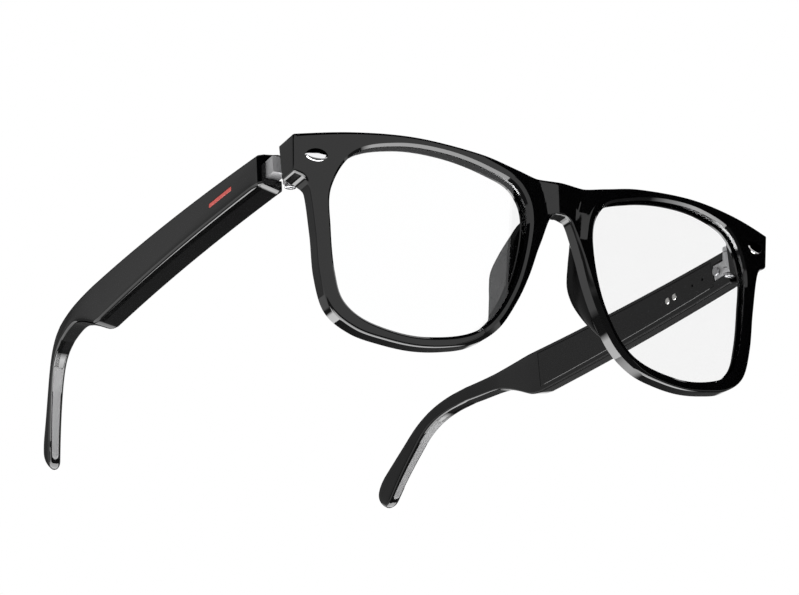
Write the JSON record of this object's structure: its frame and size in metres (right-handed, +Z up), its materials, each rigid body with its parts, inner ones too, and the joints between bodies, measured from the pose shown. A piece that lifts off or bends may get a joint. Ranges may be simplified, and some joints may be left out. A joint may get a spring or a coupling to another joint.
{
  "type": "smart glasses",
  "caption": "Black smart glasses: a tilted front with clear lenses, and folding temples that hold battery, board and speaker, with charging contacts and a red light bar.",
  "frame": {"origin": "centre of the bounding box at the height of the surface that the rims and ear tips rest on", "axes": "+X to the wearer's left, +Y back towards the ear tips, +Z up; the temples are open"},
  "size_m": [0.1506, 0.18, 0.0503],
  "materials": {
    "gloss_black": "polished black acetate-look plastic",
    "pad_black": "moulded black nose pad",
    "cover_black": "satin black inner cover",
    "clear_lens": "clear lens",
    "chrome": "polished oval rivet",
    "hinge_steel": "satin steel hinge",
    "screw_steel": "small steel fastener or spring",
    "contact_metal": "plated charging contact",
    "indicator_red": "red light bar",
    "strip_grey": "grey soft strip",
    "board_green": "circuit board",
    "battery_foil": "pouch cell foil",
    "sensor_film": "touch sensor film",
    "dark_metal": "dark metal can",
    "mesh_metal": "dark fine mesh"
  },
  "bodies": {
    "front": {"front_frame": "gloss_black", "left_lens": "clear_lens", "right_lens": "clear_lens", "left_nose_pad": "pad_black", "right_nose_pad": "pad_black", "left_rivet": "chrome", "right_rivet": "chrome", "left_front_hinge": "hinge_steel", "right_front_hinge": "hinge_steel", "left_hinge_pin": "screw_steel", "right_hinge_pin": "screw_steel"},
    "temple_left": {"left_temple_housing": "gloss_black", "left_temple_cover": "cover_black", "left_temple_hinge": "hinge_steel", "left_hinge_spring": "screw_steel", "left_hinge_screw": "screw_steel", "left_circuit_board": "board_green", "left_microphone": "dark_metal", "left_touch_sensor": "sensor_film", "left_indicator_bar": "indicator_red", "left_charging_contact_front": "contact_metal", "left_charging_contact_rear": "contact_metal", "left_battery": "battery_foil", "left_speaker": "dark_metal", "left_speaker_mesh": "mesh_metal", "left_ear_strip": "strip_grey"},
    "temple_right": {"right_temple_housing": "gloss_black", "right_temple_cover": "cover_black", "right_temple_hinge": "hinge_steel", "right_hinge_spring": "screw_steel", "right_hinge_screw": "screw_steel", "right_circuit_board": "board_green", "right_microphone": "dark_metal", "right_touch_sensor": "sensor_film", "right_indicator_bar": "indicator_red", "right_charging_contact_front": "contact_metal", "right_charging_contact_rear": "contact_metal", "right_battery": "battery_foil", "right_speaker": "dark_metal", "right_speaker_mesh": "mesh_metal", "right_ear_strip": "strip_grey"}
  },
  "joints": [
    {"name": "left_temple_fold", "type": "hinge", "parent": "front", "child": "temple_left", "pos_m": [0.0662, -0.07375, 0.04207], "axis": [0, -0.0499, 0.9988], "range_deg": [-8, 90]},
    {"name": "right_temple_fold", "type": "hinge", "parent": "front", "child": "temple_right", "pos_m": [-0.0662, -0.07375, 0.04207], "axis": [0, 0.0499, -0.9988], "range_deg": [-8, 79]}
  ]
}
